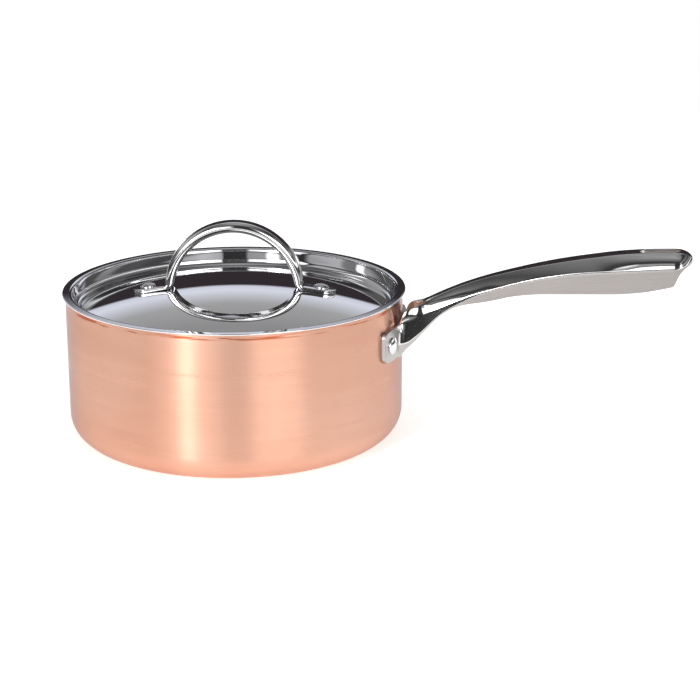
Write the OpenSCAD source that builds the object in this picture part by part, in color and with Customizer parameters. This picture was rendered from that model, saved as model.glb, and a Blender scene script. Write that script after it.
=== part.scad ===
// Tri-ply copper saucepan with a long riveted handle and a stamped steel lid.
// Origin: centre of the flat base. +Z is up and the long handle points along +X.

/* [Pan] */
// Outer diameter of the straight wall
pan_d = 203.2; // [200:0.1:208]
// Height of the rim above the base
pan_h = 89; // [86:0.5:100]
// Radius of the rounded corner between base and wall, outside
corner_r = 16; // [12:0.5:20]
// Thickness of the outer copper sheet
copper_t = 0.5; // [0.4:0.05:0.7]
// Thickness of the aluminium sheet in the middle
core_t = 1.5; // [1.2:0.05:1.6]
// Thickness of the stainless steel lining
liner_t = 0.5; // [0.4:0.05:0.6]

/* [Pan handle] */
// Distance from the pan's centre line to the tip of the handle
tip_x = 271; // [266:0.5:280]
// Width of the root plate that is riveted to the wall, measured straight across
plate_w = 70; // [66:0.5:74]
// Height of the root plate
plate_h = 19; // [18:0.5:20]
// Thickness of the root plate
plate_t = 2.5; // [2:0.1:3]
// Height of the rivets above the base
rivet_z = 65.5; // [64:0.5:67]
// Angle of each rivet either side of the handle, seen from above
rivet_angle = 14.8; // [14.3:0.1:15.2]
// Thickness of the handle's walls along the open underside
wall_t = 2.2; // [1.8:0.1:2.4]
// Length of the hanging slot
slot_l = 23; // [20:0.5:25]
// Width of the hanging slot
slot_w = 9; // [7:0.5:9.5]

/* [Lid] */
// Radius of the lid's flat flange
flange_r = 103.3; // [102.5:0.1:105]
// Thickness of the lid's sheet
lid_t = 0.9; // [0.7:0.05:1]
// Inner radius of the step that drops into the pan
step_r = 97.5; // [96.5:0.1:97.6]
// Height of the flange's top face above the base of the pan less the pan's height
flange_top = 1; // [0.95:0.05:1.2]
// Radius of curvature of the dome
dome_r = 350; // [300:10:500]
// Height of the middle of the dome above the flange
dome_rise = 1.5; // [0:0.25:3]
// Turn of the lid on the pan, from the long handle
lid_turn = 9; // [0:1:90]

/* [Lid handle] */
// Outer radius of the arch
arch_r = 42.4; // [40:0.2:44]
// Height of the arch's centre above the base of the pan
arch_z = 88; // [87:0.5:89]
// Thickness of the arch's bar
bar_t = 6.2; // [5:0.1:7]
// Width of the arch's bar
bar_w = 14; // [12:0.5:15]
// Thickness of the flat feet
foot_t = 2.3; // [2:0.1:3]
// Distance of each foot's rivet from the lid's centre
foot_rivet_x = 52.3; // [51:0.1:54]

/* [Hidden] */
$fn = 96;
fine = 240;
eps = 0.05;
pan_r = pan_d / 2;
wall_all = copper_t + core_t + liner_t;
inner_r = pan_r - wall_all;
plate_r = pan_r + eps + plate_t;
shank_d = 5;
bore_d = shank_d + 2 * eps;
head_d = 10;
head_h = 2.2;
tail_d = 9;
tail_h = 1.5;
// Flat faces of a tail stand just clear of the curved wall that they clench on
tail_x = sqrt(inner_r * inner_r - tail_d * tail_d / 4) - 0.02;

// ---- Pan bowl: three plies drawn together, each a cup of revolution ----

// Half section of a solid cup with a rounded foot, radius r, corner c
module cup_half(r, c, h) {
    square([r - c, h]);
    translate([0, c]) square([r, h - c]);
    translate([r - c, c]) circle(r = c, $fn = fine);
}

// One ply: starts "depth" inside the outer skin and is t thick
module ply(depth, t) {
    difference() {
        rotate_extrude($fn = fine) difference() {
            translate([0, depth])
                cup_half(pan_r - depth, corner_r - depth, pan_h - depth);
            translate([0, depth + t])
                cup_half(pan_r - depth - t, corner_r - depth - t, pan_h);
        }
        at_rivets() bore(bore_d);
    }
}

// Places its children at both handle rivets, X pointing out through the wall
module at_rivets() {
    for (side = [-1, 1])
        rotate([0, 0, side * rivet_angle]) translate([0, 0, rivet_z]) children();
}

module bore(d) {
    translate([pan_r - 12, 0, 0]) rotate([0, 90, 0]) cylinder(d = d, h = 24);
}

module copper_shell() { color([0.86, 0.58, 0.44]) ply(0, copper_t); }

module aluminium_core() { color([0.78, 0.79, 0.8]) ply(copper_t, core_t); }

module steel_liner() { color([0.7, 0.71, 0.73]) ply(copper_t + core_t, liner_t); }

// ---- Pan handle: a cast channel, swept from a broad root to the hanging end ----

// Stations along the handle: [x, half width of the top face, height of the top face,
// half width at the shoulder, height of the shoulder, half width at the bottom,
// height of the bottom edge, depth of the underside channel (0 solid, 1 open)]
stations = [
    [98, 13.3, 78, 13.8, 74, 14.4, 55, 0],
    [103, 13, 79.5, 13.2, 75, 13.8, 55.8, 0],
    [107, 11.4, 82.3, 12.4, 76.3, 12.8, 58.6, 0],
    [112, 8.4, 84.8, 10.8, 78.2, 10.9, 63.4, 0],
    [118, 5.6, 88, 9.3, 81.2, 9.7, 71, 0],
    [124, 4.4, 91.4, 8.8, 84.2, 9.4, 78.1, 0],
    [131, 4, 94.8, 8.9, 87.5, 9.3, 83.6, 0],
    [138, 4, 97.9, 9.1, 90.8, 9.4, 87, 0],
    [146, 4.1, 101, 9.4, 94.2, 9.5, 88.6, 0.25],
    [156, 4.4, 104.4, 9.8, 97.6, 10, 90.7, 1],
    [168, 4.9, 107.9, 10.5, 101.6, 10.8, 94.1, 1],
    [182, 5.7, 111.6, 11.2, 105.6, 11.5, 96.3, 1],
    [198, 6.2, 115.2, 11.9, 109.1, 12.3, 97.5, 1],
    [214, 6.2, 118.2, 12.5, 111.5, 12.8, 98.3, 1],
    [230, 6.1, 120.8, 12.8, 113, 13.2, 99.2, 1],
    [244, 6, 122.2, 13, 114.3, 13.5, 101, 1],
    [256, 6, 122.9, 13, 115.4, 13.5, 103.7, 1],
    [tip_x - 10.4, 6, 123.1, 13, 115.7, 13.4, 105, 1],
    [tip_x - 7, 5.8, 123, 12.6, 116, 12.6, 112, 1],
    [tip_x - 4, 5.2, 122.4, 10.6, 116.8, 10.6, 115.5, 1],
    [tip_x - 1.6, 3.6, 121.2, 7.2, 117.8, 7.2, 116.6, 0.4],
    [tip_x, 1.6, 119.8, 3, 118.8, 3, 117.6, 0]
];
slot_inset = 7;
roof_t = 2.4;
shoulder_steps = 4;

// Half outline of one station as [across, up], from the middle of the top face
// round the outside to the bottom edge, then back along the inside of the channel
function mix(a, b, t) = a + (b - a) * t;
function shoulder(s, t) = [
    s[1] + (s[3] - s[1]) * sin(90 * t),
    s[4] + (s[2] - s[4]) * cos(90 * t)
];
// The top is scooped deeply where it meets the root and only slightly along the grip
function dish(s) = 0.15 + 3.2 * max(0, 1 - abs(s[0] - 107) / 7);
function roof(s) = mix(s[6], s[2] - roof_t, s[7]);
function inside(s) = [
    [mix(0.5 * s[5], s[5] - wall_t, s[7]), s[6]],
    [mix(0.4 * s[5], s[3] - wall_t, s[7]), mix(s[6], s[4] - 1, s[7])],
    [mix(0.3 * s[5], s[1], s[7]), roof(s)]
];
function half_ring(s) = concat(
    [[0, s[2] - dish(s)], [0.6 * s[1], s[2] - 0.6 * dish(s)]],
    [for (i = [0:shoulder_steps]) shoulder(s, i / shoulder_steps)],
    [[mix(s[3], s[5], 0.5), mix(s[4], s[6], 0.5)], [s[5], s[6]]],
    inside(s),
    [[0, roof(s)]]
);
// Both halves joined into one closed ring: the far half mirrors the near one
function ring(s) = let (h = half_ring(s), n = len(h)) concat(
    [for (i = [0:n - 1]) [s[0], -h[i][0], h[i][1]]],
    [for (i = [n - 2:-1:1]) [s[0], h[i][0], h[i][1]]]
);

// A closed skin through rings of equal length
module loft(rings) {
    n = len(rings[0]);
    last = len(rings) - 1;
    polyhedron(
        points = [for (r = rings) each r],
        faces = concat(
            [[for (i = [0:n - 1]) i]],
            [for (k = [0:last - 1], i = [0:n - 1]) let (j = (i + 1) % n)
                [k * n + j, k * n + i, (k + 1) * n + i]],
            [for (k = [0:last - 1], i = [0:n - 1]) let (j = (i + 1) % n)
                [k * n + j, (k + 1) * n + i, (k + 1) * n + j]],
            [[for (i = [n - 1:-1:0]) last * n + i]]
        )
    );
}

module rounded_rect(w, h, r) {
    square([w - 2 * r, h], center = true);
    square([w, h - 2 * r], center = true);
    for (x = [-1, 1], y = [-1, 1])
        translate([x * (w / 2 - r), y * (h / 2 - r)]) circle(r = r);
}

// Root plate: a piece of tube wall cut to a rounded rectangle
module root_plate() {
    intersection() {
        difference() {
            cylinder(r = plate_r, h = pan_h, $fn = fine);
            translate([0, 0, -1]) cylinder(r = pan_r + eps, h = pan_h + 2, $fn = fine);
        }
        translate([0, 0, rivet_z]) rotate([90, 0, 90])
            linear_extrude(2 * pan_r) rounded_rect(plate_w, plate_h, 4);
    }
}

module hanging_slot() {
    end = (slot_l - slot_w) / 2;
    translate([tip_x - slot_inset - slot_l / 2, 0, 90]) linear_extrude(50) {
        square([2 * end, slot_w], center = true);
        for (x = [-end, end]) translate([x, 0]) circle(d = slot_w);
    }
}

// The swept bar starts inside the root plate's thickness, so the two are one casting
module bar() {
    difference() {
        loft([for (s = stations) ring(s)]);
        translate([0, 0, 20]) cylinder(r = plate_r - 0.8, h = 90, $fn = fine);
    }
}

module pan_handle() {
    color([0.72, 0.72, 0.74]) difference() {
        union() {
            root_plate();
            bar();
        }
        at_rivets() bore(bore_d);
        hanging_slot();
    }
}

// ---- Rivets: a low domed head, a shank, and a clenched tail ----

// Head from z = 0 up: a short straight side under a spherical cap
module domed_head(d, h) {
    side = 0.35 * h;
    cap = h - side;
    ball = (d * d / 4 + cap * cap) / (2 * cap);
    cylinder(d = d, h = side);
    translate([0, 0, side]) intersection() {
        translate([0, 0, cap - ball]) sphere(r = ball, $fn = fine);
        cylinder(d = d, h = cap + 1);
    }
}

module handle_rivet(side) {
    rotate([0, 0, side * rivet_angle]) translate([0, 0, rivet_z]) rotate([0, 90, 0]) {
        translate([0, 0, plate_r]) domed_head(head_d, head_h);
        translate([0, 0, tail_x - 0.5]) cylinder(d = shank_d, h = plate_r - tail_x + 1);
        translate([0, 0, tail_x]) mirror([0, 0, 1]) domed_head(tail_d, tail_h);
    }
}

module handle_rivet_front() { color([0.8, 0.8, 0.82]) handle_rivet(-1); }

module handle_rivet_rear() { color([0.8, 0.8, 0.82]) handle_rivet(1); }

// ---- Lid: stamped sheet with a flange, a step, a gutter and a shallow dome ----

lid_top = pan_h + flange_top;
bend_r = 1.5;
gutter_r = 4;
dome_cz = lid_top + dome_rise - dome_r;
gutter_x = step_r - gutter_r;
gutter_cz = dome_cz + sqrt(pow(dome_r + gutter_r, 2) - gutter_x * gutter_x);
dome_edge = asin(gutter_x / (dome_r + gutter_r));

// Part of an annulus about the origin, between two angles less than 90 apart
module arc_band(r_in, r_out, a0, a1) {
    reach = 2 * r_out;
    intersection() {
        difference() {
            circle(r = r_out, $fn = 4 * fine);
            circle(r = r_in, $fn = 4 * fine);
        }
        polygon([[0, 0], reach * [cos(a0), sin(a0)], reach * [cos((a0 + a1) / 2), sin((a0 + a1) / 2)],
            reach * [cos(a1), sin(a1)]]);
    }
}

module lid_section() {
    translate([0, dome_cz]) arc_band(dome_r - lid_t, dome_r, 90 - dome_edge, 90);
    translate([gutter_x, gutter_cz]) {
        arc_band(gutter_r, gutter_r + lid_t, -90 - dome_edge, -45);
        arc_band(gutter_r, gutter_r + lid_t, -45, 0);
    }
    translate([step_r, gutter_cz]) square([lid_t, lid_top - bend_r - gutter_cz]);
    translate([step_r + bend_r, lid_top - bend_r]) arc_band(bend_r - lid_t, bend_r, 90, 180);
    translate([step_r + bend_r, lid_top - lid_t])
        square([flange_r - step_r - bend_r, lid_t]);
}

// The feet lie on the plane that touches the dome under their rivets
foot_slope = asin(foot_rivet_x / dome_r);
foot_z = dome_cz + sqrt(dome_r * dome_r - foot_rivet_x * foot_rivet_x);

// Places its children on a foot's rivet line, Z pointing out of the dome
module at_foot(side) {
    rotate([0, 0, lid_turn]) mirror([side < 0 ? 1 : 0, 0, 0])
        translate([foot_rivet_x, 0, foot_z]) rotate([0, foot_slope, 0]) children();
}

module lid_shell() {
    color([0.75, 0.75, 0.78]) difference() {
        rotate_extrude($fn = fine) lid_section();
        for (side = [-1, 1])
            at_foot(side) translate([0, 0, -6]) cylinder(d = 4 + 2 * eps, h = 12);
    }
}

// ---- Lid handle: a bar bent to an arch, its ends pressed into flat feet ----

foot_gap = 0.03;
foot_w = 15;
foot_end = 9;
foot_root = 13;
arch_start = 8;

module arch() {
    mid_r = arch_r - bar_t / 2;
    flat = bar_w - bar_t;
    translate([0, 0, arch_z]) rotate([90, 0, 0]) rotate([0, 0, arch_start])
        rotate_extrude(angle = 180 - 2 * arch_start, $fn = fine) translate([mid_r, 0]) {
            square([bar_t, flat], center = true);
            for (y = [-1, 1]) translate([0, y * flat / 2]) circle(d = bar_t);
        }
}

// One foot in its own frame: the rivet's axis is Z, the lid's middle is towards -X
module foot() {
    translate([0, 0, foot_gap]) difference() {
        union() {
            translate([-foot_root, -foot_w / 2, 0])
                cube([foot_root + foot_end - foot_w / 2, foot_w, foot_t]);
            translate([foot_end - foot_w / 2, 0, 0]) cylinder(d = foot_w, h = foot_t);
            // Block that carries the end of the arch down to the foot
            translate([-foot_root, -bar_w / 2, 0]) cube([bar_t, bar_w, 5]);
        }
        translate([0, 0, -1]) cylinder(d = 4 + 2 * eps, h = 8);
    }
}

module lid_handle() {
    color([0.74, 0.74, 0.76]) union() {
        rotate([0, 0, lid_turn]) arch();
        for (side = [-1, 1]) at_foot(side) foot();
    }
}

module lid_rivet(side) {
    at_foot(side) {
        translate([0, 0, foot_gap + foot_t]) domed_head(9.4, 2.1);
        translate([0, 0, -lid_t - 0.5]) cylinder(d = 4, h = lid_t + foot_t + 1);
        translate([0, 0, -lid_t - 0.08]) mirror([0, 0, 1]) domed_head(8, 1.4);
    }
}

module lid_rivet_left() { color([0.82, 0.82, 0.84]) lid_rivet(-1); }

module lid_rivet_right() { color([0.82, 0.82, 0.84]) lid_rivet(1); }

copper_shell();
aluminium_core();
steel_liner();
pan_handle();
handle_rivet_front();
handle_rivet_rear();
lid_shell();
lid_handle();
lid_rivet_left();
lid_rivet_right();
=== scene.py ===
"""A tri-ply copper saucepan with a riveted cast handle and a stamped steel lid."""
import math

import bmesh
import bpy
from mathutils import Matrix, Vector


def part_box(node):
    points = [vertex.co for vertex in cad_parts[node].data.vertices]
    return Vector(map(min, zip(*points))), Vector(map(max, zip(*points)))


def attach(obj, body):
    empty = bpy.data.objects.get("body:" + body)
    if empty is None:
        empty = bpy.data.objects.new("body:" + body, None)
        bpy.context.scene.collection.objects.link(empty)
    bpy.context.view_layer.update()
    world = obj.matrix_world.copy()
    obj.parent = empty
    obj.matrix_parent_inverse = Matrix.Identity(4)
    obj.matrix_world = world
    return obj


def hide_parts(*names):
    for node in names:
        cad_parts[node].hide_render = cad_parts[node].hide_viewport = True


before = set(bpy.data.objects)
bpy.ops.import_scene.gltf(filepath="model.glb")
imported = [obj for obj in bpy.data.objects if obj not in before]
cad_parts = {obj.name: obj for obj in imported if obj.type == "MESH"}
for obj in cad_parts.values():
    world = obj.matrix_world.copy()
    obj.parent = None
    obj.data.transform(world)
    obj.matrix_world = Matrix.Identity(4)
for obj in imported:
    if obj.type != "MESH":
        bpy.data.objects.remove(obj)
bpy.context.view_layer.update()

MM = 0.001

# ---- Viewpoint ----
# A long lens a little over a metre away, looking down on the pan from ten degrees
# round towards the handle's end.
view_turn = math.radians(10)
view_drop = math.radians(16.87)
view_distance = 1.1
sensor_width, focal_length = 36, 91.25
aim = Vector((66.3 * MM, 25.7 * MM, 45.6 * MM))
look_back = Vector((
    math.sin(view_turn) * math.cos(view_drop),
    -math.cos(view_turn) * math.cos(view_drop),
    math.sin(view_drop),
))
lens = bpy.data.cameras.new("studio_lens")
lens.sensor_width = sensor_width
lens.lens = focal_length
lens.clip_end = 50
camera = bpy.data.objects.new("studio_camera", lens)
camera.location = aim + view_distance * look_back
camera.rotation_euler = look_back.to_track_quat("Z", "Y").to_euler()
scene = bpy.context.scene
scene.collection.objects.link(camera)
scene.camera = camera
scene.view_settings.view_transform = "Standard"


# ---- Studio: surroundings, overhead light and floor ----
# A pale floor under a broad overhead light. Round it stand what polished steel mirrors: soft
# boxes and strips on the camera's side, a grey wall on the left and a pale screen behind.
def add_node(tree, kind, **settings):
    """Adds a shader or geometry node. Settings and sockets go by name, and a socket whose name is
    shared by its number, as _0. A socket takes a value or another node's output."""
    made = tree.nodes.new(kind)
    for name, value in settings.items():
        if hasattr(made, name):
            setattr(made, name, value)
            continue
        numbered = name[1:].isdigit()
        socket = made.inputs[int(name[1:]) if numbered else name.replace("_", " ")]
        if isinstance(value, bpy.types.NodeSocket):
            tree.links.new(value, socket)
        else:
            socket.default_value = value
    return made


def maths(tree, operation, *values):
    """A Math node on one to three values or outputs."""
    made = tree.nodes.new("ShaderNodeMath")
    made.operation = operation
    for socket, value in zip(made.inputs, values):
        if isinstance(value, bpy.types.NodeSocket):
            tree.links.new(value, socket)
        else:
            socket.default_value = value
    return made.outputs[0]


def ramp(tree, value, low, high, stops):
    """A Color Ramp over a value that runs from low to high; stops are (value, grey or colour)."""
    spread = add_node(tree, "ShaderNodeMapRange", Value=value, From_Min=low, From_Max=high)
    made = add_node(tree, "ShaderNodeValToRGB", Fac=spread.outputs[0])
    band = made.color_ramp
    while len(band.elements) < len(stops):
        band.elements.new(0.5)
    for element, (at, tone) in zip(band.elements, stops):
        element.position = (at - low) / (high - low)
    for element, (at, tone) in zip(band.elements, stops):
        colour = (tone, tone, tone) if isinstance(tone, (int, float)) else tone
        element.color = (*colour, 1)
    return made.outputs[0]


def blend_colours(tree, factor, first, second, kind="MIX"):
    """A Mix node on colours."""
    made = tree.nodes.new("ShaderNodeMix")
    made.data_type = "RGBA"
    made.blend_type = kind
    sockets = (made.inputs[0], made.inputs[6], made.inputs[7])
    for socket, value in zip(sockets, (factor, first, second)):
        if isinstance(value, bpy.types.NodeSocket):
            tree.links.new(value, socket)
        else:
            socket.default_value = value if isinstance(value, (int, float)) else (*value, 1)
    return made.outputs[2]


def object_place(tree):
    """Coordinates that stay with the object."""
    return add_node(tree, "ShaderNodeTexCoord").outputs["Object"]


def noise(tree, place, scale, detail, roughness=0.5):
    """A noise between 0 and 1."""
    made = add_node(
        tree, "ShaderNodeTexNoise", Vector=place, Scale=scale, Detail=detail, Roughness=roughness)
    return made.outputs[0]


surround = bpy.data.worlds.new("studio_surround")
surround.use_nodes = True
scene.world = surround
tree = surround.node_tree
tree.nodes.clear()
facing = add_node(tree, "ShaderNodeTexCoord").outputs["Generated"]
turned = add_node(
    tree, "ShaderNodeVectorRotate", rotation_type="Z_AXIS", Vector=facing, Angle=-view_turn)
axes = add_node(tree, "ShaderNodeSeparateXYZ", Vector=turned.outputs[0])
to_right, ahead, up = axes.outputs["X"], axes.outputs["Y"], axes.outputs["Z"]
height = maths(tree, "DEGREES", maths(tree, "ARCSINE", up))
swing = maths(tree, "DEGREES", maths(tree, "ARCTAN2", to_right, maths(tree, "MULTIPLY", ahead, -1.0)))


def by_height(stops):
    """Brightness by degrees above the horizon."""
    return ramp(surround.node_tree, height, -90, 90, stops)


def by_swing(stops):
    """Brightness by degrees round from the camera, where the left is negative."""
    return ramp(surround.node_tree, swing, -180, 180, stops)


def lights(across, upright):
    """Lights that reach as far as both of two ramps say."""
    return blend_colours(surround.node_tree, 1.0, across, upright, "MULTIPLY")


# Soft boxes on both sides of the camera, with dark gaps between them
boxes = by_swing([
    (-180, 0.05), (-62, 0.12), (-58, 0.02), (-53.5, 0.02), (-52, 1.4), (-36, 2.2), (-33, 14.0),
    (-26, 14.0), (-23, 2.6), (-8, 2.2), (-6.5, 0.02), (13, 0.02), (14.5, 3.2), (30, 4.2),
    (48, 3.0), (50, 0.04), (90, 0.05), (180, 0.05)])
box_reach = by_height([
    (-90, 0.0), (5.5, 0.0), (8.5, 1.0), (20, 1.0), (33, 0.8), (35.5, 0.03), (38, 0.03),
    (39, 0.15), (45, 0.15), (50, 0.0), (90, 0.0)])
# Strips of light past the right-hand soft box, one above the other
strips = by_height([
    (-90, 0.0), (8, 0.0), (10, 2.2), (13, 2.2), (15, 0.05), (22, 0.05), (24, 0.6), (27, 0.4),
    (29, 0.03), (37.5, 0.05), (39, 0.5), (40.3, 0.05), (42, 0.04), (43, 0.4), (44.5, 0.03),
    (46.5, 0.3), (48.5, 0.0), (90, 0.0)])
strip_reach = by_swing([
    (-180, 0.0), (49, 0.0), (52, 0.9), (85, 0.8), (130, 0.3), (165, 0.0), (180, 0.0)])
# A grey side wall on the left with two narrow windows, above the height of the pan
side_wall = by_swing([
    (-180, 0.02), (-150, 0.25), (-118, 0.3), (-116, 1.3), (-109, 1.3), (-107, 0.1), (-95, 0.12),
    (-90, 0.42), (-62, 0.36), (-57, 0.0), (180, 0.0)])
wall_reach = by_height([
    (-90, 0.0), (19, 0.0), (24, 1.0), (42, 1.0), (52, 0.3), (60, 0.0), (90, 0.0)])
ceiling = by_height([
    (-90, 0.5), (-2, 0.3), (3, 0.03), (46, 0.035), (58, 0.06), (70, 0.20), (90, 0.42)])
front = lights(boxes, box_reach)
for added in (lights(strips, strip_reach), lights(side_wall, wall_reach), ceiling):
    front = blend_colours(tree, 1.0, front, added, "ADD")
# A dark sill behind the pan with a pale screen above it, whose edge leans a little
sideways = maths(tree, "DEGREES", maths(tree, "ARCTAN2", to_right, ahead))
screen_lean = add_node(
    tree, "ShaderNodeMapRange", Value=sideways, From_Min=-6.0, From_Max=6.0, To_Min=-0.1, To_Max=-0.6)
above_screen = maths(tree, "ADD", height, screen_lean.outputs[0])
sill_tone, screen_foot, screen_top = (0.034, 0.027, 0.031), (0.66, 0.68, 0.77), (0.74, 0.76, 0.85)
back = ramp(tree, above_screen, -90, 90, [
    (-90, 0.5), (-2, 0.3), (0, sill_tone), (15.3, sill_tone), (15.6, screen_foot),
    (19, screen_top), (27, 0.40), (38, 0.30), (60, 0.32), (90, 0.42)])
turned_away = maths(tree, "ABSOLUTE", swing)
behind = ramp(tree, turned_away, 0, 180, [(0, 0.0), (148, 0.0), (160, 1.0), (180, 1.0)])
around = blend_colours(tree, behind, front, back)
is_view = add_node(tree, "ShaderNodeLightPath").outputs["Is Camera Ray"]
seen = blend_colours(tree, is_view, around, (1.0, 1.0, 1.0))
lit = add_node(tree, "ShaderNodeBackground", Color=seen, Strength=1.0)
tree.links.new(lit.outputs[0], add_node(tree, "ShaderNodeOutputWorld").inputs[0])

overhead_width, overhead_height, overhead_power = 2.4, 2.2, 16
softener = bpy.data.lights.new("overhead_light", "AREA")
softener.shape = "DISK"
softener.size = overhead_width
softener.energy = overhead_power
overhead = bpy.data.objects.new("overhead_light", softener)
overhead.location = (0, 0, overhead_height)
overhead.visible_glossy = False
overhead.visible_camera = False
scene.collection.objects.link(overhead)

floor_radius, floor_glow = 1.3, 0.55
floor_paint = bpy.data.materials.new("floor_paint")
floor_paint.use_nodes = True
tree = floor_paint.node_tree
shader = tree.nodes["Principled BSDF"]
shader.inputs["Roughness"].default_value = 0.9
shader.inputs["Specular IOR Level"].default_value = 0.0
clouds = noise(tree, object_place(tree), 3.0, 4.0)
tree.links.new(ramp(tree, clouds, 0, 1, [(0.3, 0.88), (0.7, 0.93)]), shader.inputs["Base Color"])
shader.inputs["Emission Color"].default_value = (1, 1, 1, 1)
shader.inputs["Emission Strength"].default_value = floor_glow
mesh = bpy.data.meshes.new("floor")
outline = bmesh.new()
bmesh.ops.create_circle(outline, cap_ends=True, segments=96, radius=floor_radius)
outline.to_mesh(mesh)
outline.free()
floor = bpy.data.objects.new("floor", mesh)
mesh.materials.append(floor_paint)
scene.collection.objects.link(floor)


# ---- Bowl: copper outside, aluminium core, steel lining ----
# One disc of bonded sheet, drawn to a straight-sided cup with a rounded foot. The copper is
# brushed round the wall, the lining is satin inside, and all three plies show at the cut rim.
def revolve_tree():
    """Geometry nodes that turn a profile, given as points (radius, 0, height), into a closed skin."""
    tree = bpy.data.node_groups.new("revolve", "GeometryNodeTree")
    face = tree.interface
    face.new_socket("Profile", in_out="INPUT", socket_type="NodeSocketGeometry")
    face.new_socket("Segments", in_out="INPUT", socket_type="NodeSocketInt")
    face.new_socket("Finish", in_out="INPUT", socket_type="NodeSocketMaterial")
    face.new_socket("Skin", in_out="OUTPUT", socket_type="NodeSocketGeometry")
    given = tree.nodes.new("NodeGroupInput")
    chain = add_node(tree, "GeometryNodeAttributeDomainSize", Geometry=given.outputs["Profile"])
    steps = maths(tree, "ADD", given.outputs["Segments"], 1)
    grid = add_node(
        tree, "GeometryNodeMeshGrid", Vertices_X=chain.outputs["Point Count"], Vertices_Y=steps)
    index = add_node(tree, "GeometryNodeInputIndex").outputs[0]
    along = maths(tree, "FLOOR", maths(tree, "DIVIDE", index, steps))
    step = maths(tree, "MODULO", index, steps)
    turn = maths(tree, "MULTIPLY", maths(tree, "DIVIDE", step, given.outputs["Segments"]), math.tau)
    place = add_node(tree, "GeometryNodeInputPosition").outputs[0]
    point = tree.nodes.new("GeometryNodeSampleIndex")
    point.data_type = "FLOAT_VECTOR"
    tree.links.new(given.outputs["Profile"], point.inputs["Geometry"])
    tree.links.new(place, point.inputs["Value"])
    tree.links.new(along, point.inputs["Index"])
    split = add_node(tree, "ShaderNodeSeparateXYZ", Vector=point.outputs[0])
    x = maths(tree, "MULTIPLY", split.outputs["X"], maths(tree, "COSINE", turn))
    y = maths(tree, "MULTIPLY", split.outputs["X"], maths(tree, "SINE", turn))
    spot = add_node(tree, "ShaderNodeCombineXYZ", X=x, Y=y, Z=split.outputs["Z"])
    moved = add_node(tree, "GeometryNodeSetPosition", Geometry=grid.outputs[0], Position=spot.outputs[0])
    sealed = add_node(tree, "GeometryNodeMergeByDistance", Geometry=moved.outputs[0], Distance=1e-6)
    smooth = add_node(tree, "GeometryNodeSetShadeSmooth", Geometry=sealed.outputs[0], Shade_Smooth=True)
    real = add_node(tree, "GeometryNodeRealizeInstances", Geometry=smooth.outputs[0])
    finish = given.outputs["Finish"]
    done = add_node(tree, "GeometryNodeSetMaterial", Geometry=real.outputs[0], Material=finish)
    tree.links.new(done.outputs[0], tree.nodes.new("NodeGroupOutput").inputs[0])
    return tree


def profile_object(name, points):
    """An object that holds a profile as a row of points (radius, height)."""
    mesh = bpy.data.meshes.new(name)
    mesh.from_pydata([(r, 0, z) for r, z in points], [], [])
    made = bpy.data.objects.new(name, mesh)
    scene.collection.objects.link(made)
    return made


def bake_tree(holder, tree, settings):
    """Runs a geometry node tree on an object and leaves the result as the object's plain mesh."""
    run = holder.modifiers.new("build", "NODES")
    run.node_group = tree
    for item in tree.interface.items_tree:
        if item.in_out == "INPUT" and item.name in settings:
            run[item.identifier] = settings[item.name]
    holder.update_tag()
    graph = bpy.context.evaluated_depsgraph_get()
    mesh = bpy.data.meshes.new_from_object(holder.evaluated_get(graph), depsgraph=graph)
    holder.modifiers.remove(run)
    holder.data = mesh
    skin = bmesh.new()
    skin.from_mesh(mesh)
    bmesh.ops.recalc_face_normals(skin, faces=skin.faces)
    skin.to_mesh(mesh)
    skin.free()
    return holder


def arc(cx, cz, radius, start, end, steps):
    """Points on a circle in the profile's plane, in degrees, both ends included."""
    turns = [math.radians(start + (end - start) * i / steps) for i in range(steps + 1)]
    return [(cx + radius * math.cos(t), cz + radius * math.sin(t)) for t in turns]


pan_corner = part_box("copper_shell")[1]
pan_r, rim_z = pan_corner.x, pan_corner.z
foot_r = 16 * MM
ply_faces = [0, 0.5 * MM, 2.0 * MM, 2.5 * MM]
edge_r = 0.12 * MM
base_rings, wall_steps, foot_steps, edge_steps = 6, 10, 28, 4


def ply_profile(outer, inner):
    """Section of one ply between two depths below the outside face, from axis to rim and back."""
    flat_r = pan_r - foot_r
    wall_out = pan_r - outer
    wall_in = pan_r - inner
    rings = [flat_r * k / base_rings for k in range(base_rings)]
    levels = [foot_r + (rim_z - foot_r) * k / wall_steps for k in range(1, wall_steps)]
    levels.append(rim_z - 3 * edge_r)
    points = [(r, outer) for r in rings]
    points += arc(flat_r, foot_r, foot_r - outer, -90, 0, foot_steps)
    points += [(wall_out, z) for z in levels]
    points += arc(wall_out - edge_r, rim_z - edge_r, edge_r, 0, 90, edge_steps)
    points += arc(wall_in + edge_r, rim_z - edge_r, edge_r, 90, 180, edge_steps)
    points += [(wall_in, z) for z in reversed(levels)]
    points += arc(flat_r, foot_r, foot_r - inner, 0, -90, foot_steps)
    points += [(r, inner) for r in reversed(rings)]
    return points


def brushed_vector(tree, stretch, across):
    """Coordinates that are long round the pan and fine up the wall and across the base."""
    split = add_node(tree, "ShaderNodeSeparateXYZ", Vector=object_place(tree))
    flat = add_node(tree, "ShaderNodeCombineXYZ", X=split.outputs["X"], Y=split.outputs["Y"])
    out = add_node(tree, "ShaderNodeVectorMath", operation="LENGTH", _0=flat.outputs[0])
    up = maths(tree, "SUBTRACT", split.outputs["Z"], out.outputs["Value"])
    return add_node(
        tree, "ShaderNodeCombineXYZ",
        X=maths(tree, "MULTIPLY", split.outputs["X"], stretch),
        Y=maths(tree, "MULTIPLY", split.outputs["Y"], stretch),
        Z=maths(tree, "MULTIPLY", up, across),
    ).outputs[0]


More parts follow.
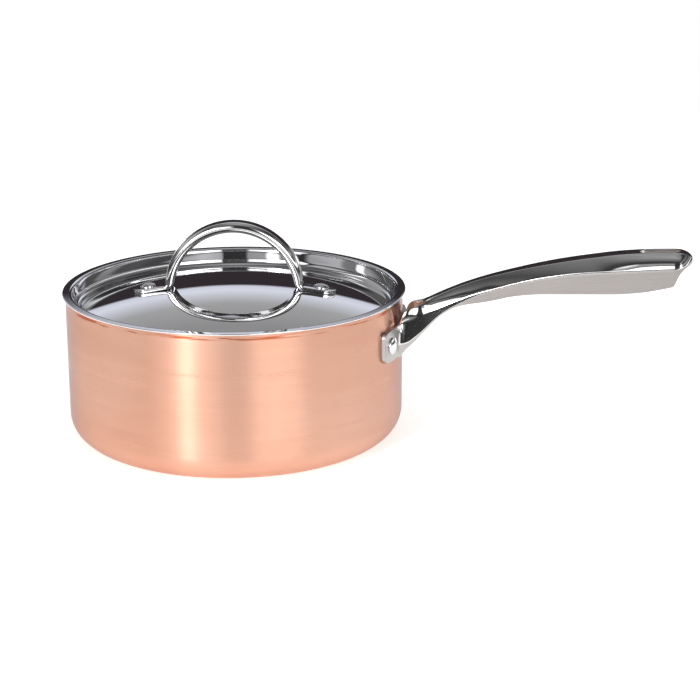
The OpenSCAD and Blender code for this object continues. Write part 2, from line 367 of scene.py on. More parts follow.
def metal(name, colour, roughness, anisotropy=0.0):
    """A bare metal; returns the material, its tree and its shader."""
    made = bpy.data.materials.new(name)
    made.use_nodes = True
    shader = made.node_tree.nodes["Principled BSDF"]
    shader.inputs["Metallic"].default_value = 1.0
    shader.inputs["Base Color"].default_value = (*colour, 1)
    shader.inputs["Roughness"].default_value = roughness
    shader.inputs["Anisotropic"].default_value = anisotropy
    return made, made.node_tree, shader


def vary(tree, socket, value, stops):
    """Drives a shader's socket by a ramp over a value between 0 and 1."""
    tree.links.new(ramp(tree, value, 0, 1, stops), socket)


def emboss(tree, shader, height, strength, depth):
    """Gives a surface a fine relief; depth is in metres."""
    relief = add_node(tree, "ShaderNodeBump", Strength=strength, Distance=depth, Height=height)
    tree.links.new(relief.outputs[0], shader.inputs["Normal"])


def brush_round(tree, shader):
    """Turns a metal's stretched highlights so that they follow brushing round the upright axis."""
    shader.inputs["Anisotropic Rotation"].default_value = 0.25
    round_wall = add_node(tree, "ShaderNodeTangent", direction_type="RADIAL", axis="Z")
    tree.links.new(round_wall.outputs[0], shader.inputs["Tangent"])


fine_relief, coarse_relief = 0.02 * MM, 0.03 * MM

# Copper, in warm clouds and brushed streaks, with a red line in patches under the rim: painted shade and
# reflection of the lid's flange, mixed with rubbed wear
copper, tree, shader = metal("brushed_copper", (0.74, 0.41, 0.29), 0.3, 0.93)
shader.inputs["Specular Tint"].default_value = (0.66, 0.68, 0.72, 1)
brush_round(tree, shader)
grain = noise(tree, brushed_vector(tree, 14, 5200), 1.0, 3.0, 0.6)
broad = noise(tree, brushed_vector(tree, 9, 260), 1.0, 4.0, 0.55)
bloom = noise(tree, object_place(tree), 16.0, 3.0)
warm = ramp(tree, bloom, 0, 1, [
    (0.32, (0.78, 0.415, 0.292)), (0.5, (0.81, 0.452, 0.325)), (0.7, (0.83, 0.485, 0.362))])
streaks = ramp(tree, broad, 0, 1, [(0.3, 0.93), (0.7, 1.0)])
streaked = blend_colours(tree, 1.0, warm, streaks, "MULTIPLY")
level = add_node(tree, "ShaderNodeSeparateXYZ", Vector=object_place(tree)).outputs["Z"]
# Where the red line goes: painted shade and reflection of the lid's flange, mixed with rubbed wear, in
# patches just under the rim
rim_band = ramp(tree, level, 0, rim_z, [
    (0.0, 0.0), (rim_z - 3.6 * MM, 0.0), (rim_z - 2.8 * MM, 1.0), (rim_z - 1.6 * MM, 1.0),
    (rim_z - 1.0 * MM, 0.2), (rim_z, 0.2)])
patches = ramp(tree, noise(tree, brushed_vector(tree, 38, 700), 1.0, 4.0), 0, 1, [(0.5, 0.0), (0.58, 1.0)])
flange_shade_and_wear = blend_colours(tree, 1.0, rim_band, patches, "MULTIPLY")
flange_shade_red = (0.50, 0.12, 0.05)
tree.links.new(blend_colours(tree, flange_shade_and_wear, streaked, flange_shade_red), shader.inputs["Base Color"])
vary(tree, shader.inputs["Roughness"], broad, [(0.25, 0.26), (0.75, 0.36)])
emboss(tree, shader, grain, 0.12, fine_relief)

core, tree, shader = metal("cut_aluminium", (0.80, 0.80, 0.81), 0.35, 0.5)
grain = noise(tree, brushed_vector(tree, 40, 9000), 1.0, 3.0)
vary(tree, shader.inputs["Base Color"], grain, [(0.3, (0.70, 0.70, 0.71)), (0.7, (0.86, 0.86, 0.87))])
vary(tree, shader.inputs["Roughness"], grain, [(0.3, 0.28), (0.7, 0.45)])

lining, tree, shader = metal("satin_lining", (0.66, 0.66, 0.67), 0.28, 0.7)
brush_round(tree, shader)
grain = noise(tree, brushed_vector(tree, 16, 4200), 1.0, 4.0, 0.6)
vary(tree, shader.inputs["Base Color"], grain, [(0.25, (0.58, 0.58, 0.59)), (0.75, (0.72, 0.72, 0.73))])
vary(tree, shader.inputs["Roughness"], grain, [(0.3, 0.22), (0.7, 0.36)])
emboss(tree, shader, grain, 0.15, fine_relief)

round_steps = 288
revolve = revolve_tree()
plies = [
    ("copper_skin", "copper_shell", "copper", copper),
    ("core_ply", "aluminium_core", "aluminium", core),
    ("lining_ply", "steel_liner", "liner_steel", lining),
]
for depth, (name, node, slot, finish) in enumerate(plies):
    holder = profile_object(name, ply_profile(ply_faces[depth], ply_faces[depth + 1]))
    ply = bake_tree(holder, revolve, {"Segments": round_steps, "Finish": finish})
    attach(ply, "pan")
    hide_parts(node)


# ---- Pan handle: one steel casting with a root plate, a neck and a hollow grip ----
# Cast stainless steel. The top is polished and deeply scooped at the root, the sides of the grip
# are satin, and the underside is open. The root plate is curved to the wall and riveted on.
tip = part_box("pan_handle")[1].x / MM
plate_gap, plate_t = 0.05, 2.5
plate_back = pan_r / MM + plate_gap
plate_front = plate_back + plate_t
plate_half_w, plate_half_h, plate_corner, plate_z = 35, 9.5, 4, 65.5
plate_edge = 0.45
wall_t, roof_t = 2.2, 2.4
slot_half = 4.5
slot_start, slot_end = tip - 30, tip - 7
# Along the grip: where the sides turn satin, and where the root's sharper lines fade out
satin_from, satin_over = 128, 20
sharp_to, sharp_over = 118, 24
# Between an edge and the line beside it that keeps the edge crisp when it is rounded
crisp_edge = 0.35
weld = 0.002 * MM
# Stations: distance out, top half width, top height, shoulder half width and height, knee
# half width and height, bottom half width and height, how far the underside is hollow,
# depth of the scoop in the top, fullness of the shoulder
stations = [
    (98, 11.4, 76.6, 12.3, 74.2, 14.5, 63.4, 13.2, 55.8, 0, 0.5, 0.22),
    (103.3, 11.4, 76.6, 12.3, 74.2, 14.5, 63.4, 13.2, 55.8, 0, 0.5, 0.22),
    (105, 11.6, 80.4, 12.6, 75.4, 15, 63.3, 12.8, 57.2, 0, 3, 0.22),
    (107, 11.1, 82.8, 12.4, 76.6, 14.9, 63.6, 12.2, 59.2, 0, 4.8, 0.22),
    (109.5, 9.9, 84.2, 11.6, 77.4, 14, 64.6, 11.5, 61.6, 0, 5, 0.22),
    (112, 8.6, 85.1, 10.7, 78.4, 12.8, 66.8, 10.8, 64.3, 0, 4, 0.22),
    (114.5, 7, 86.2, 9.85, 79.6, 11.7, 69, 10.2, 67.4, 0, 1.2, 0.22),
    (118, 5.6, 88, 9.1, 81.4, 10.55, 72.6, 9.7, 71.2, 0, 0.3, 0.22),
    (124, 4.4, 91.4, 8.85, 84.3, 9.75, 79, 9.4, 78.1, 0, 0.1, 0.2),
    (131, 4, 94.8, 8.95, 87.6, 9.45, 84.6, 9.3, 83.6, 0, 0.1, 0.16),
    (138, 4, 97.9, 9.2, 90.9, 9.6, 88.6, 9.4, 87, 0, 0.05, 0.12),
    (146, 4.1, 101, 9.5, 94.3, 9.7, 92.9, 9.5, 88.7, 0.25, 0.03, 0.08),
    (156, 4.4, 104.4, 9.9, 97.7, 10, 97, 10, 90.8, 1, 0, 0.07),
    (168, 4.9, 107.9, 10.6, 101.7, 10.7, 101.1, 10.8, 94.2, 1, 0, 0.06),
    (182, 5.7, 111.6, 11.3, 105.7, 11.4, 105.1, 11.5, 96.4, 1, 0, 0.05),
    (198, 6.2, 115.2, 12, 109.1, 12.1, 108.5, 12.3, 97.5, 1, 0, 0.03),
    (214, 6.2, 118.2, 12.5, 111.5, 12.6, 110.9, 12.8, 98.3, 1, 0, 0.02),
    (230, 6.1, 120.8, 12.8, 113, 12.9, 112.4, 13.2, 99.2, 1, 0, 0.14),
    (244, 6, 122.2, 13, 114.3, 13.1, 113.7, 13.5, 101, 1, 0, 0.24),
    (256, 6, 122.9, 13, 115.4, 13.1, 114.8, 13.5, 103.7, 1, 0, 0.26),
    (tip - 10.4, 6, 123.1, 13, 115.7, 13.1, 115.1, 13.4, 105, 1, 0, 0.26),
    (tip - 7, 5.8, 123, 12.6, 116, 12.6, 115.5, 12.6, 112, 1, 0, 0.26),
    (tip - 4, 5.2, 122.4, 10.6, 116.8, 10.6, 116.5, 10.6, 115.5, 1, 0, 0.2),
    (tip - 1.6, 3.6, 121.2, 7.2, 117.8, 7.2, 117.4, 7.2, 116.6, 0.4, 0, 0.2),
    (tip, 1.6, 119.8, 3, 118.8, 3, 118.4, 3, 117.6, 0, 0, 0.2),
]


def mix(a, b, t):
    return a + (b - a) * t


def ease(t):
    t = min(1, max(0, t))
    return t * t * (3 - 2 * t)


def ease_through(spots, values, at):
    """Height at one place of a smooth curve through points, which never overshoots them."""
    gaps = [b - a for a, b in zip(spots, spots[1:])]
    rises = [(b - a) / gap for a, b, gap in zip(values, values[1:], gaps)]
    slopes = [0 if a * b <= 0 else 2 * a * b / (a + b) for a, b in zip(rises, rises[1:])]
    slopes = [rises[0], *slopes, rises[-1]]
    k = max(i for i in range(len(gaps)) if spots[i] <= at or i == 0)
    gap, t = gaps[k], (at - spots[k]) / gaps[k]
    return (
        values[k] * (1 + 2 * t) * (1 - t) ** 2 + values[k + 1] * t * t * (3 - 2 * t)
        + gap * slopes[k] * t * (1 - t) ** 2 - gap * slopes[k + 1] * t * t * (1 - t)
    )


station_x, *station_columns = zip(*stations)


def slot_half_width(x):
    """Half width of the hanging slot, whose ends are half circles."""
    if not slot_start < x < slot_end:
        return 0.0
    short = min(x - slot_start, slot_end - x, slot_half)
    return math.sqrt(slot_half**2 - (slot_half - short) ** 2)


def half_section(x):
    """Half outline of the handle as (across, height, satin), from the middle of the top,
    round the outside to the bottom edge, and back inside the hollow to the middle."""
    top_w, top, side_w, side, knee_w, knee_z, foot_w, foot, hollow, dish, full = [
        ease_through(station_x, column, x) for column in station_columns]
    slot = slot_half_width(x)
    satin = ease((x - satin_from) / satin_over)
    # The skirt is part satin even at the root; there its darker satin tone is painted shade for the
    # skirt's darker reflections
    lower = mix(0.7, 1, satin)
    sharp = 1 - ease((x - sharp_to) / sharp_over)

    def dished(across):
        return top - dish * (1 - (across / top_w) ** 2)

    outline = []
    crisp = 0.14 * top_w
    for t in (0, 0.06, 0.35, 0.7):
        across = mix(slot, top_w - crisp, t)
        outline.append((across, dished(across), 0))
    outline += [(top_w - crisp, dished(top_w - crisp), 0), (top_w, top, 0)]
    bulge = (mix(top_w, side_w, 0.5 + full), mix(top, side, 0.5 - full))
    for t in (0.08, 0.22, 0.4, 0.6, 0.8, mix(0.95, 0.88, sharp)):
        outline.append((
            mix(mix(top_w, bulge[0], t), mix(bulge[0], side_w, t), t),
            mix(mix(top, bulge[1], t), mix(bulge[1], side, t), t), 0))
    outline.append((side_w, side, 0))
    for t in (mix(0.3, 0.14, sharp), 0.4, 0.7, 0.92):
        outline.append((mix(side_w, knee_w, t), mix(side, knee_z, t), 0))
    outline.append((knee_w, knee_z, 0.5 * satin))
    for t in (0.08, 0.35, 0.65, 0.93):
        outline.append((mix(knee_w, foot_w, t), mix(knee_z, foot, t), lower))
    outline.append((foot_w, foot, lower))
    inner_w = mix(0.5 * foot_w, foot_w - wall_t, hollow)
    outline += [
        (foot_w - crisp_edge, foot, lower), (inner_w + crisp_edge, foot, lower), (inner_w, foot, lower)]
    ledge = (mix(0.4 * foot_w, side_w - wall_t, hollow), mix(foot, side - 1, hollow))
    roof = mix(foot, top - roof_t, hollow)
    outline += [(mix(inner_w, ledge[0], t), mix(foot, ledge[1], t), 1) for t in (0.06, 0.5, 0.95)]
    outline += [
        (mix(0.35 * foot_w, 0.7 * side_w, hollow), mix(ledge[1], roof, 0.7), 1),
        (mix(slot, 0.7 * top_w, 0.75), roof, 1), (mix(slot, top_w, 0.12), roof, 1), (slot, roof, 1)]
    return outline


hug_length, root_fillet = 16, 1.7


def out_from_axis(x, across):
    """Distance along the handle of a point whose ring hugs the round plate near the root."""
    hug = 1 - ease((x - plate_front) / hug_length)
    return x + hug * (math.sqrt(plate_front**2 - across**2) - plate_front)


def flared(outline, x):
    """The outline with a fillet where it meets the plate, below the plate's top edge."""
    short = x - plate_front
    if short >= root_fillet:
        return outline
    grow = root_fillet - math.sqrt(max(0, root_fillet**2 - (root_fillet - max(short, 0)) ** 2))
    grown = []
    for k, (across, up, satin) in enumerate(outline):
        held = ease((plate_z + plate_half_h - 0.5 - up) / 4)
        before, after = outline[max(k - 1, 0)], outline[min(k + 1, len(outline) - 1)]
        run, climb = after[0] - before[0], after[1] - before[1]
        size = math.hypot(run, climb) or 1
        grown.append((max(0, across - grow * held * climb / size), up + grow * held * run / size, satin))
    return grown


# Rings stand closest in the root's fillet, round the slot's ends and round the tip
root_steps = (-0.8, -0.5, 0, 0.3, 0.7, 1.2, 1.8, 2.6, 3.6, 4.8, 6, 7.2, 8.4, 9.6, 11, 13, 16)
slot_turns = [slot_half * (1 - math.cos(math.radians(turn))) for turn in range(0, 91, 15)]
ring_x = [plate_front + d for d in root_steps]
ring_x += [*range(124, int(slot_start) - 1, 4), slot_start - 1.2]
ring_x += [slot_start + d for d in (*slot_turns, 7, 10.5, 14.5)]
ring_x += [slot_end - d for d in slot_turns]
ring_x += [tip - d for d in (10.75, 10.4, 10.05, 6.4, 5.5, 4, 2.6, 1.5, 0.7, 0.25, 0)]
ring_x = sorted(set(round(x, 4) for x in ring_x))
cast = bmesh.new()
flow = cast.verts.layers.float_vector.new("flow")
travel, last_spot = 0.0, None
rings, slot_walls = [], []
for x in ring_x:
    outline = flared(half_section(x), x)
    spot = (x, outline[0][1])
    travel += math.dist(spot, last_spot or spot)
    last_spot = spot
    ring, walls = [], []
    for side in (1, -1):
        around, row, before = 0.0, [], outline[0]
        for across, up, satin in outline:
            around += math.hypot(across - before[0], up - before[1])
            before = (across, up)
            point = cast.verts.new((MM * out_from_axis(x, across), MM * side * across, MM * up))
            point[flow] = (travel, around, satin)
            row.append(point)
        ring.append(row)
        if slot_start <= x <= slot_end:
            (across, high, _), low = outline[0], outline[-1][1]
            wall = [row[0]]
            for up in (high - crisp_edge, mix(high, low, 0.5), low + crisp_edge):
                point = cast.verts.new((MM * x, MM * side * across, MM * up))
                point[flow] = (travel, 0, 0.3)
                wall.append(point)
            walls.append([*wall, row[-1]])
    rings.append(ring)
    slot_walls.append(walls)
for k in range(len(rings) - 1):
    for side in (0, 1):
        strips = [(rings[k][side], rings[k + 1][side])]
        if slot_walls[k] and slot_walls[k + 1]:
            strips.append((slot_walls[k][side], slot_walls[k + 1][side]))
        for near, far in strips:
            for a, b, c, d in zip(near, near[1:], far[1:], far):
                cast.faces.new((a, b, c, d))
for ring in (rings[0], rings[-1]):
    cast.faces.new([*ring[0], *reversed(ring[1])])
bmesh.ops.remove_doubles(cast, verts=cast.verts, dist=weld)
bmesh.ops.recalc_face_normals(cast, faces=cast.faces)
mesh = bpy.data.meshes.new("pan_handle_casting")
cast.to_mesh(mesh)
cast.free()
handle = bpy.data.objects.new("pan_handle_casting", mesh)
scene.collection.objects.link(handle)
rounding = handle.modifiers.new("rounding", "SUBSURF")
rounding.levels = rounding.render_levels = 2


def bake_modifiers(holder):
    """Leaves an object with the mesh that its modifiers make, and no modifiers."""
    graph = bpy.context.evaluated_depsgraph_get()
    mesh = bpy.data.meshes.new_from_object(holder.evaluated_get(graph), depsgraph=graph)
    holder.modifiers.clear()
    holder.data = mesh
    return mesh


grip_mesh = bake_modifiers(handle)

# The root plate: a rounded rectangle bent round the wall, with its edges eased
plate = bmesh.new()
flow = plate.verts.layers.float_vector.new("flow")
flat_w = plate_half_w - plate_corner
columns = [flat_w * k / 14 for k in range(-14, 15)]
bend = [plate_corner * math.sin(math.radians(turn)) for turn in (18, 36, 54, 70, 82, 90)]
columns = [-flat_w - b for b in reversed(bend)] + columns + [flat_w + b for b in bend]
rims = []
for radius in (plate_back, plate_front):
    sheet = []
    for across in columns:
        over = max(0, abs(across) - flat_w)
        reach = plate_half_h - plate_corner + math.sqrt(max(0, plate_corner**2 - over**2))
        column = []
        for t in (-1, -0.6, -0.2, 0.2, 0.6, 1):
            point = plate.verts.new((
                MM * math.sqrt(radius**2 - across**2), MM * across, MM * (plate_z + t * reach)))
            # The plate is mostly satin; its darker satin tone is partly painted shade for the plate's
            # darker reflections
            point[flow] = (across, t * reach, 0.75)
            column.append(point)
        sheet.append(column)
    for near, far in zip(sheet, sheet[1:]):
        for a, b, c, d in zip(near, near[1:], far[1:], far):
            plate.faces.new((a, b, c, d))
    rim = [c[0] for c in sheet] + sheet[-1][1:-1] + [c[-1] for c in reversed(sheet)] + sheet[0][-2:0:-1]
    rims.append(rim)
back_rim, front_rim = rims
for k in range(len(back_rim)):
    plate.faces.new((back_rim[k - 1], back_rim[k], front_rim[k], front_rim[k - 1]))
bmesh.ops.recalc_face_normals(plate, faces=plate.faces)
corner = math.radians(60)
edges = [e for e in plate.edges if e.is_manifold and e.calc_face_angle() > corner]
bmesh.ops.bevel(plate, geom=edges, offset=plate_edge * MM, segments=3, profile=0.5, affect="EDGES")
plate.from_mesh(grip_mesh)
for face in plate.faces:
    face.smooth = True
plate.to_mesh(grip_mesh)
plate.free()


def along_flow(tree, stretch, across):
    """Coordinates that are long along a bar and fine across it, and how satin its skin is there."""
    marks = add_node(tree, "ShaderNodeAttribute", attribute_name="flow").outputs["Vector"]
    parts = add_node(tree, "ShaderNodeSeparateXYZ", Vector=marks)
    lengthwise = add_node(
        tree, "ShaderNodeCombineXYZ",
        X=maths(tree, "MULTIPLY", parts.outputs["X"], stretch),
        Y=maths(tree, "MULTIPLY", parts.outputs["Y"], across))
    return lengthwise.outputs[0], parts.outputs["Z"]


steel_dull, steel_bright = (0.76, 0.755, 0.75), (0.82, 0.815, 0.81)
# The satin tone is darker than the polished one: partly the brushed finish, partly painted shade where the
# skirt, neck and plate reflect darker surroundings
satin_and_shade_dull, satin_and_shade_bright = (0.355, 0.33, 0.315), (0.45, 0.42, 0.405)
cast_steel, tree, shader = metal("cast_steel", (0.72, 0.71, 0.70), 0.06)
lengthwise, satin = along_flow(tree, 0.035, 3.2)
brushing = noise(tree, lengthwise, 1.0, 5.0, 0.65)
smears = noise(tree, object_place(tree), 90.0, 4.0, 0.6)
polished_tone = ramp(tree, smears, 0, 1, [(0.3, steel_dull), (0.7, steel_bright)])
satin_and_shade_tone = ramp(tree, brushing, 0, 1, [(0.3, satin_and_shade_dull), (0.7, satin_and_shade_bright)])
tree.links.new(blend_colours(tree, satin, polished_tone, satin_and_shade_tone), shader.inputs["Base Color"])
polished_rough = ramp(tree, smears, 0, 1, [(0.3, 0.045), (0.75, 0.085)])
satin_rough = ramp(tree, brushing, 0, 1, [(0.3, 0.36), (0.7, 0.48)])
tree.links.new(blend_colours(tree, satin, polished_rough, satin_rough), shader.inputs["Roughness"])
depth = maths(tree, "ADD", maths(tree, "MULTIPLY", satin, 0.9), 0.1)
emboss(tree, shader, maths(tree, "MULTIPLY", brushing, depth), 0.35, coarse_relief)
grip_mesh.materials.clear()
grip_mesh.materials.append(cast_steel)
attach(handle, "pan")
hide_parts("pan_handle")


# ---- Pan handle rivets: two solid steel rivets through the root plate and the wall ----
# Polished stainless steel. Each has a low domed head outside and a clenched tail inside,
# and stands square to the round wall.
def rivet_tree():
    """Geometry nodes that turn a rivet from its section, lean it and set two of them round an axis."""
    tree = bpy.data.node_groups.new("rivet_pair", "GeometryNodeTree")
    face = tree.interface
    face.new_socket("Profile", in_out="INPUT", socket_type="NodeSocketGeometry")
    for name in ("Lean", "Reach", "Height", "Turn", "Spread"):
        face.new_socket(name, in_out="INPUT", socket_type="NodeSocketFloat")
    face.new_socket("Segments", in_out="INPUT", socket_type="NodeSocketInt")
    face.new_socket("Finish", in_out="INPUT", socket_type="NodeSocketMaterial")
    face.new_socket("Rivets", in_out="OUTPUT", socket_type="NodeSocketGeometry")
    given = tree.nodes.new("NodeGroupInput")
    turned = tree.nodes.new("GeometryNodeGroup")
    turned.node_tree = revolve
    for name in ("Profile", "Segments", "Finish"):
        tree.links.new(given.outputs[name], turned.inputs[name])
    lean = add_node(tree, "ShaderNodeCombineXYZ", Y=given.outputs["Lean"])
    place = add_node(tree, "ShaderNodeCombineXYZ", X=given.outputs["Reach"], Z=given.outputs["Height"])
    stood = add_node(
        tree, "GeometryNodeTransform", Geometry=turned.outputs[0],
        Rotation=lean.outputs[0], Translation=place.outputs[0])
    pair = add_node(tree, "GeometryNodeMeshLine", Count=2, Offset=(0, 0, 0))
    index = add_node(tree, "GeometryNodeInputIndex").outputs[0]
    swing = maths(tree, "MULTIPLY_ADD", index, given.outputs["Spread"], given.outputs["Turn"])
    round_axis = add_node(tree, "ShaderNodeCombineXYZ", Z=swing)
    placed = add_node(
        tree, "GeometryNodeInstanceOnPoints", Points=pair.outputs[0], Instance=stood.outputs[0],
        Rotation=round_axis.outputs[0])
    real = add_node(tree, "GeometryNodeRealizeInstances", Geometry=placed.outputs[0])
    finish = given.outputs["Finish"]
    done = add_node(tree, "GeometryNodeSetMaterial", Geometry=real.outputs[0], Material=finish)
    tree.links.new(done.outputs[0], tree.nodes.new("NodeGroupOutput").inputs[0])
    return tree


def domed(diameter, height, base, up):
    """Section of a domed rivet end, from its underside to its crown, seated at base."""
    side = 0.35 * height
    cap = height - side
    ball = (diameter**2 / 4 + cap**2) / (2 * cap)
    rise = math.degrees(math.asin(diameter / 2 / ball))
    crown = arc(0, side + cap - ball, ball, 90 - 0.93 * rise, 90, 10)
    edge = diameter / 2
    brim = [(edge - 0.05, 0), (edge, 0.1), (edge, side - 0.2), (edge - 0.12, side + 0.1)]
    return [(MM * r, MM * (base + up * h)) for r, h in brim + crown]


def rivet_profile(shank, tail_d, tail_h, tail_at, head_d, head_h, head_at):
    """Section of a whole rivet along its axis, from the tail's crown to the head's."""
    tail = domed(tail_d, tail_h, tail_at, -1)[::-1]
    middle = [(MM * shank / 2, MM * (tail_at + 0.02)), (MM * shank / 2, MM * (head_at - 0.02))]
    return tail + middle + domed(head_d, head_h, head_at, 1)


rivet_steel, tree, shader = metal("rivet_steel", (0.80, 0.80, 0.81), 0.1)
pits = noise(tree, object_place(tree), 420.0, 4.0, 0.6)
vary(tree, shader.inputs["Base Color"], pits, [(0.3, (0.74, 0.74, 0.75)), (0.6, (0.84, 0.84, 0.85))])
vary(tree, shader.inputs["Roughness"], pits, [(0.3, 0.15), (0.7, 0.08)])
emboss(tree, shader, pits, 0.08, coarse_relief)

rivets = rivet_tree()
rivet_steps = 48
pan_shank, pan_tail_d, pan_tail_h, pan_head_d, pan_head_h = 5, 9, 1.5, 10, 2.2
pan_rivet_turn = math.radians(14.8)
# The flat of the tail meets the round lining at its edge
lining_r = (pan_r - ply_faces[-1]) / MM
tail_at = math.sqrt(lining_r**2 - (pan_tail_d / 2) ** 2) - 0.02
holder = profile_object("pan_rivets", rivet_profile(
    pan_shank, pan_tail_d, pan_tail_h, tail_at, pan_head_d, pan_head_h, plate_front))
pan_rivets = bake_tree(holder, rivets, {
    "Lean": math.pi / 2, "Reach": 0.0, "Height": plate_z * MM, "Turn": -pan_rivet_turn,
    "Spread": 2 * pan_rivet_turn, "Segments": rivet_steps, "Finish": rivet_steel})
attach(pan_rivets, "pan")
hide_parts("handle_rivet_front", "handle_rivet_rear")


# ---- Lid: one disc of stainless steel, stamped and mirror polished ----
# A shallow dome inside a rounded gutter, a step that drops into the pan, and a flat flange
# that lies on the rim. The whole disc is polished like a mirror.
flange_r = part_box("lid_shell")[1].x / MM
lid_top, sheet_t, edge = 90, 0.9, 0.3
step_r, bend_r, gutter_r = 97.5, 1.5, 4
dome_r, dome_crown = 350, 91.5
dome_z = dome_crown - dome_r
gutter_x = step_r - gutter_r
gutter_z = dome_z + math.sqrt((dome_r + gutter_r) ** 2 - gutter_x**2)
dome_edge = math.degrees(math.asin(gutter_x / (dome_r + gutter_r)))
dome_steps, gutter_steps = 30, 14
bend_x, bend_z = step_r + bend_r, lid_top - bend_r
brim_r = flange_r - edge
# Over the top from the middle to the edge of the flange, then back underneath
section = arc(0, dome_z, dome_r, 90, 90 - dome_edge, dome_steps)
section += arc(gutter_x, gutter_z, gutter_r, -90 - dome_edge, 0, gutter_steps)[1:]
section += [(step_r, mix(gutter_z, bend_z, t)) for t in (0.2, 0.5, 0.8)]
section += arc(bend_x, bend_z, bend_r, 180, 90, 9)
section += [(mix(bend_x, brim_r, t), lid_top) for t in (0.1, 0.5, 0.9)]
section += arc(brim_r, lid_top - edge, edge, 90, 0, 4)
section += arc(brim_r, lid_top - sheet_t + edge, edge, 0, -90, 4)
section += [(mix(brim_r, bend_x, t), lid_top - sheet_t) for t in (0.1, 0.5, 0.9)]
section += arc(bend_x, bend_z, bend_r - sheet_t, 90, 180, 5)
section += [(step_r + sheet_t, mix(bend_z, gutter_z, t)) for t in (0.2, 0.5, 0.8)]
section += arc(gutter_x, gutter_z, gutter_r + sheet_t, 0, -90 - dome_edge, gutter_steps)
section += arc(0, dome_z, dome_r - sheet_t, 90 - dome_edge, 90, dome_steps)[1:]
for end in (0, -1):
    section[end] = (0, section[end][1])

mirror_steel, tree, shader = metal("mirror_steel", (0.86, 0.86, 0.88), 0.03)
smears = noise(tree, object_place(tree), 22.0, 5.0, 0.6)
spun = noise(tree, brushed_vector(tree, 12, 1500), 1.0, 3.0)
vary(tree, shader.inputs["Base Color"], smears, [(0.3, (0.84, 0.84, 0.86)), (0.7, (0.88, 0.88, 0.90))])
smeared_rough = ramp(tree, smears, 0, 1, [(0.35, 0.008), (0.75, 0.025)])
spun_rough = ramp(tree, spun, 0, 1, [(0.3, 0.01), (0.7, 0.03)])
tree.links.new(blend_colours(tree, 0.5, smeared_rough, spun_rough), shader.inputs["Roughness"])
emboss(tree, shader, spun, 0.012, fine_relief)

holder = profile_object("lid_pressing", [(MM * r, MM * z) for r, z in section])
lid = bake_tree(holder, revolve, {"Segments": round_steps, "Finish": mirror_steel})
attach(lid, "lid")
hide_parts("lid_shell")


# ---- Lid handle: a bar bent to an arch, its ends pressed into flat feet ----
# Polished stainless steel. An oval bar is bent to half a ring, turned out tightly at the
# dome, and pressed flat where each rounded foot is riveted down.
lid_turn = math.radians(9)
arch_mid, arch_z = 39.3, 88
bar_half_w, bar_half_t = 7, 3.1
foot_half_w, foot_t = 7.5, 2.3
bend_half_w, bend_half_t = 7.2, 2.6
foot_round, heel_round, bend_round = 0.55, 0.9, 2.4
blunt_end = 0.25
rivet_out = 52.3
foot_end = rivet_out + 9
slope = math.asin(rivet_out / dome_r)
seat_z = dome_z + math.sqrt(dome_r**2 - rivet_out**2)
foot_gap = 0.03


def foot_height(out):
    """Height of the middle of the foot's thickness at a distance from the lid's centre."""
    return seat_z + (foot_gap + foot_t / 2) / math.cos(slope) - (out - rivet_out) * math.tan(slope)


# The tight bend is a circle that touches the line of the foot and the line of the leg
knee_r = 3.4
leg_turn = math.radians(9)
leg = (arch_mid * math.cos(leg_turn), arch_z + arch_mid * math.sin(leg_turn))
side_foot = (math.sin(slope), math.cos(slope))
side_leg = (math.cos(leg_turn), math.sin(leg_turn))
past_foot = rivet_out * side_foot[0] + foot_height(rivet_out) * side_foot[1] + knee_r
past_leg = leg[0] * side_leg[0] + leg[1] * side_leg[1] + knee_r
cross = side_foot[0] * side_leg[1] - side_foot[1] * side_leg[0]
knee = (
    (past_foot * side_leg[1] - side_foot[1] * past_leg) / cross,
    (side_foot[0] * past_leg - side_leg[0] * past_foot) / cross,
)
# Middle line of one side, as (out, height, half width, half thickness, rounding), from the
# foot's end in along the foot, round the tight bend and up the arch to its top
spine = []
for turn in range(90, -1, -10):
    over = foot_half_w * math.sin(math.radians(turn))
    out = foot_end - foot_half_w + over
    half_w = math.sqrt(max(0, foot_half_w**2 - over**2))
    spine.append((out, foot_height(out), max(half_w, blunt_end), foot_t / 2, foot_round))
knee_start = knee[0] - knee_r * side_foot[0]
for t in (0.25, 0.5, 0.75):
    out = mix(foot_end - foot_half_w, knee_start, t)
    half_w = mix(foot_half_w, bend_half_w, t)
    spine.append((out, foot_height(out), half_w, foot_t / 2, mix(foot_round, heel_round, t)))
bend_from = -90 - math.degrees(slope)
bend_to = -180 + math.degrees(leg_turn)
bend_steps, arch_steps = 12, 40
for k in range(bend_steps + 1):
    turn = math.radians(mix(bend_from, bend_to, k / bend_steps))
    t = ease(0.75 * k / bend_steps)
    spine.append((
        knee[0] + knee_r * math.cos(turn), knee[1] + knee_r * math.sin(turn),
        mix(bend_half_w, bar_half_w, t), mix(foot_t / 2, bend_half_t, t),
        mix(heel_round, bend_round, t)))
start = math.degrees(math.atan2(spine[-1][1] - arch_z, spine[-1][0]))
for k in range(1, arch_steps + 1):
    turn = math.radians(mix(start, 90, k / arch_steps))
    t = ease(4 * k / arch_steps)
    spine.append((
        arch_mid * math.cos(turn), arch_z + arch_mid * math.sin(turn),
        bar_half_w, mix(bend_half_t, bar_half_t, t), mix(bend_round, bar_half_t, t)))
spine += [(-out, up, w, t, r) for out, up, w, t, r in reversed(spine[:-1])]

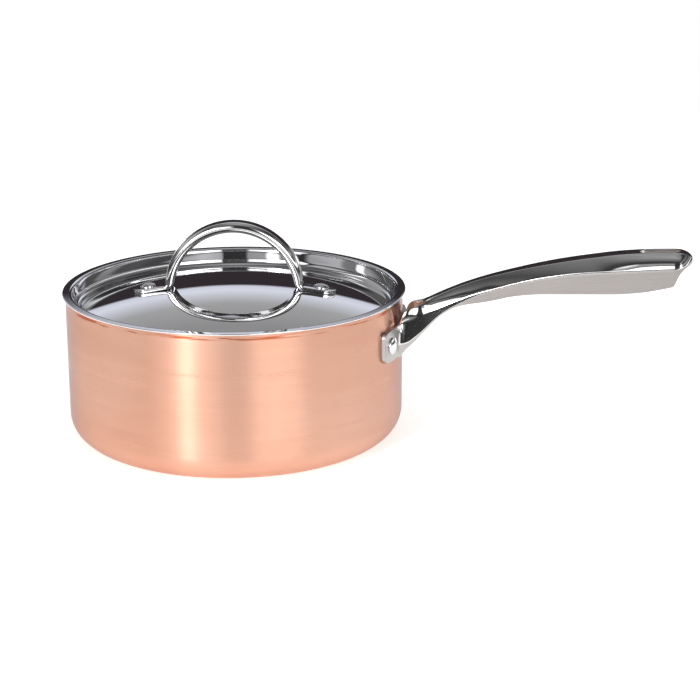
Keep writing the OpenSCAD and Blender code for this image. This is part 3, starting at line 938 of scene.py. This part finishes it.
bar = bmesh.new()
flow = bar.verts.layers.float_vector.new("flow")
rings, travel = [], 0.0
for k, (out, up, half_w, half_t, soft) in enumerate(spine):
    before, after = spine[max(k - 1, 0)], spine[min(k + 1, len(spine) - 1)]
    way = Vector((after[0] - before[0], after[1] - before[1])).normalized()
    normal = Vector((way.y, -way.x))
    if k:
        travel += math.hypot(out - before[0], up - before[1])
    soft = min(soft, half_t, half_w)
    loop = []
    flat_w, flat_t = half_w - soft, half_t - soft
    for corner, (sx, sy) in enumerate(((1, 1), (-1, 1), (-1, -1), (1, -1))):
        loop += arc(sx * flat_w, sy * flat_t, soft, 90 * corner, 90 * corner + 90, 8)
        if corner in (0, 2):
            loop += [(sx * flat_w * t, sy * half_t) for t in (0.5, 0, -0.5)]
    ring, around = [], 0.0
    for j, (across, thick) in enumerate(loop):
        spot = Vector((out, up)) + normal * thick
        point = bar.verts.new((MM * spot.x, MM * across, MM * spot.y))
        around += math.hypot(across - loop[j - 1][0], thick - loop[j - 1][1]) if j else 0
        point[flow] = (travel, around, 0)
        ring.append(point)
    rings.append(ring)
for near, far in zip(rings, rings[1:]):
    for j in range(len(near)):
        bar.faces.new((near[j - 1], near[j], far[j], far[j - 1]))
bar.faces.new(rings[0])
bar.faces.new(rings[-1])
bmesh.ops.remove_doubles(bar, verts=bar.verts, dist=weld)
bmesh.ops.recalc_face_normals(bar, faces=bar.faces)
bmesh.ops.rotate(bar, verts=bar.verts, cent=(0, 0, 0), matrix=Matrix.Rotation(lid_turn, 3, "Z"))
for face in bar.faces:
    face.smooth = True
mesh = bpy.data.meshes.new("lid_arch")
bar.to_mesh(mesh)
bar.free()

bright_steel, tree, shader = metal("bright_steel", (0.80, 0.795, 0.79), 0.05)
polishing = noise(tree, along_flow(tree, 0.05, 2.4)[0], 1.0, 4.0, 0.6)
vary(tree, shader.inputs["Base Color"], polishing, [(0.3, steel_dull), (0.7, steel_bright)])
vary(tree, shader.inputs["Roughness"], polishing, [(0.3, 0.035), (0.7, 0.085)])
emboss(tree, shader, polishing, 0.12, fine_relief)
mesh.materials.append(bright_steel)
lid_arch = bpy.data.objects.new("lid_arch", mesh)
scene.collection.objects.link(lid_arch)
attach(lid_arch, "lid")
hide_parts("lid_handle")


# ---- Lid rivets: one through each foot of the lid's handle ----
# Polished stainless steel, smaller than the pan's, square to the dome under each foot.
lid_shank, lid_tail_d, lid_tail_h, lid_head_d, lid_head_h = 4, 8, 1.4, 9.4, 2.1
tail_at = -sheet_t - 0.08
head_at = foot_gap + foot_t
holder = profile_object("lid_rivets", rivet_profile(
    lid_shank, lid_tail_d, lid_tail_h, tail_at, lid_head_d, lid_head_h, head_at))
lid_rivets = bake_tree(holder, rivets, {
    "Lean": slope, "Reach": rivet_out * MM, "Height": seat_z * MM, "Turn": lid_turn,
    "Spread": math.pi, "Segments": rivet_steps, "Finish": rivet_steel})
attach(lid_rivets, "lid")
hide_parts("lid_rivet_left", "lid_rivet_right")
